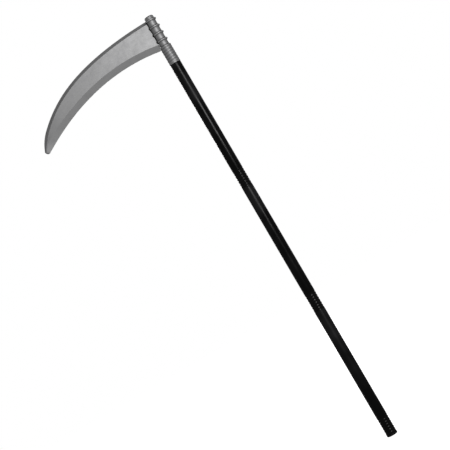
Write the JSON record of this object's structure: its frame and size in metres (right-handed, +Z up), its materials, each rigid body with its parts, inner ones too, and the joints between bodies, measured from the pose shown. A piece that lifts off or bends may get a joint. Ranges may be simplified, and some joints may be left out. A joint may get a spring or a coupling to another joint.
{
  "type": "scythe",
  "caption": "Take-apart costume scythe: hollow crescent blade in a ringed socket, on a straight round pole of screw-together tubes.",
  "frame": {"origin": "centre of the foot plug's flat underside, where the pole meets the floor", "axes": "+Z up the pole towards the head; the blade lies in the XZ plane and reaches towards -X; -Y is the front face"},
  "size_m": [0.3553, 0.027, 1.0499],
  "materials": {
    "blade_plastic": "silver-grey moulded, satin",
    "socket_plastic": "silver-grey moulded, semi-gloss",
    "pole_plastic": "black, satin gloss",
    "plug_plastic": "black, matt"
  },
  "bodies": {
    "lower_section": {"pole_lower": "pole_plastic", "foot_plug": "plug_plastic"},
    "lower_joiner": {"joiner_lower": "plug_plastic"},
    "middle_section": {"pole_middle": "pole_plastic"},
    "middle_joiner": {"joiner_middle": "plug_plastic"},
    "upper_section": {"pole_upper": "pole_plastic"},
    "upper_joiner": {"joiner_upper": "plug_plastic"},
    "head": {"blade_socket": "socket_plastic", "top_cap": "socket_plastic"},
    "blade": {"blade_front": "blade_plastic", "blade_rear": "blade_plastic"}
  },
  "joints": [
    {"name": "middle_section_turn", "type": "hinge", "parent": "lower_section", "child": "lower_joiner", "pos_m": [0, 0, 0.312], "axis": [0, 0, 1], "range_deg": [0, 2520]},
    {"name": "middle_section_climb", "type": "slide", "parent": "lower_joiner", "child": "middle_section", "axis": [0, 0, 1], "range_m": [0, 0.0435]},
    {"name": "upper_section_turn", "type": "hinge", "parent": "middle_section", "child": "middle_joiner", "pos_m": [0, 0, 0.622], "axis": [0, 0, 1], "range_deg": [0, 2520]},
    {"name": "upper_section_climb", "type": "slide", "parent": "middle_joiner", "child": "upper_section", "axis": [0, 0, 1], "range_m": [0, 0.0435]},
    {"name": "head_turn", "type": "hinge", "parent": "upper_section", "child": "upper_joiner", "pos_m": [0, 0, 0.932], "axis": [0, 0, 1], "range_deg": [0, 2520]},
    {"name": "head_climb", "type": "slide", "parent": "upper_joiner", "child": "head", "axis": [0, 0, 1], "range_m": [0, 0.0435]},
    {"name": "blade_pull", "type": "slide", "parent": "head", "child": "blade", "axis": [-1, 0, 0], "range_m": [0, 0.024]}
  ],
  "couplings": [
    {"joint": "middle_section_climb", "follows": "middle_section_turn", "m_per_rad": 0.00098676},
    {"joint": "upper_section_climb", "follows": "upper_section_turn", "m_per_rad": 0.00098676},
    {"joint": "head_climb", "follows": "head_turn", "m_per_rad": 0.00098676}
  ]
}
